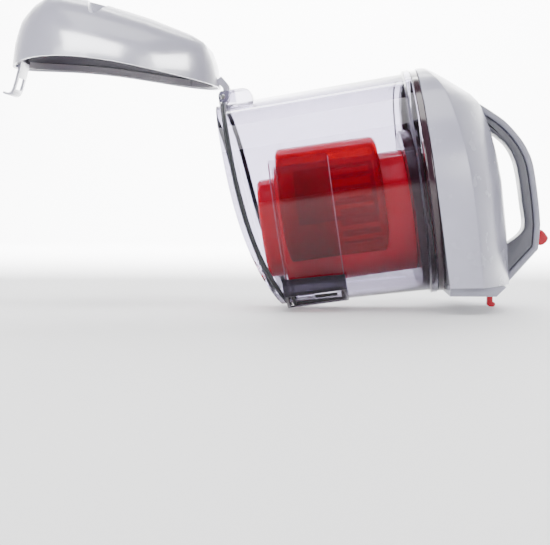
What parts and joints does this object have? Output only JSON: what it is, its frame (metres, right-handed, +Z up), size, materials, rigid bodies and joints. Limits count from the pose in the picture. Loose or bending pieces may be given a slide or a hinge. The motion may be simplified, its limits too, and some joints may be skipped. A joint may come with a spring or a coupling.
{
  "type": "handheld vacuum dust container",
  "caption": "Clear cyclone dust bin with a translucent red separator, grey filter head, carry handle, release latch and a hinged emptying lid shown open.",
  "frame": {"origin": "middle of the bounding box at the level it lies on", "axes": "+X from the open lid towards the handle, +Y across, away from the side with the inlet duct, +Z up"},
  "size_m": [0.466, 0.1912, 0.2622],
  "materials": {
    "clear": "clear moulded plastic, polished",
    "smoked": "smoky moulded plastic",
    "red_clear": "translucent red plastic, polished",
    "red": "satin red plastic",
    "light_grey": "satin light grey plastic",
    "mid_grey": "satin grey plastic",
    "dark_grey": "fine-textured dark grey plastic",
    "black_rubber": "moulded rubber",
    "plum": "dark plum plastic",
    "steel": "plain steel",
    "filter_paper": "pleated filter paper",
    "filter_foam": "open-cell foam"
  },
  "bodies": {
    "container": {"dust_cup": "clear", "inlet_duct": "clear", "mouth_seal": "black_rubber", "hinge_pin": "steel", "inlet_port_frame": "smoked", "port_seal": "black_rubber", "head_seal": "black_rubber", "head_shell": "light_grey", "head_plate": "dark_grey", "filter_frame": "mid_grey", "pleated_filter": "filter_paper", "foam_filter": "filter_foam", "underside_frame": "light_grey", "tray_screw_1": "steel", "tray_screw_2": "steel", "tray_screw_3": "steel", "tray_screw_4": "steel", "handle_strip": "mid_grey", "handle_grip": "dark_grey", "latch_pin": "steel"},
    "cyclone": {"cyclone_drum": "red_clear", "cyclone_core": "red_clear", "cyclone_tip": "red_clear", "vortex_tube": "plum", "spiral_ramp": "plum", "window_grille": "plum", "flange_disc": "plum", "bayonet_ring": "red"},
    "lid": {"lid_shell": "light_grey", "lid_liner": "dark_grey", "lid_seal": "mid_grey"},
    "clip": {"lid_clip": "light_grey"},
    "button": {"release_button": "red", "button_spring": "steel"},
    "latch": {"latch_hook": "red"}
  },
  "joints": [
    {"name": "lid_hinge", "type": "hinge", "parent": "container", "child": "lid", "pos_m": [-0.04306, 0, 0.17932], "axis": [0, 1, 0], "range_deg": [-114.3, 0]},
    {"name": "clip_flex", "type": "hinge", "parent": "lid", "child": "clip", "pos_m": [-0.21769, 0, 0.20833], "axis": [0, 1, 0], "range_deg": [0, 9], "stiffness_Nm_per_rad": 0.05},
    {"name": "button_press", "type": "slide", "parent": "container", "child": "button", "axis": [-0.9906, 0, -0.1368], "range_m": [0, 0.003], "stiffness_N_per_m": 300},
    {"name": "latch_swing", "type": "hinge", "parent": "container", "child": "latch", "pos_m": [0.18456, 0, 0.04421], "axis": [0, 1, 0], "range_deg": [0, 5.2]},
    {"name": "cyclone_twist", "type": "hinge", "parent": "container", "child": "cyclone", "pos_m": [0.05662, 0, 0.07588], "axis": [0.9906, 0, 0.1368], "range_deg": [-25, 0]}
  ],
  "couplings": [
    {"joint": "latch_swing", "follows": "button_press", "rad_per_m": 29.089}
  ]
}
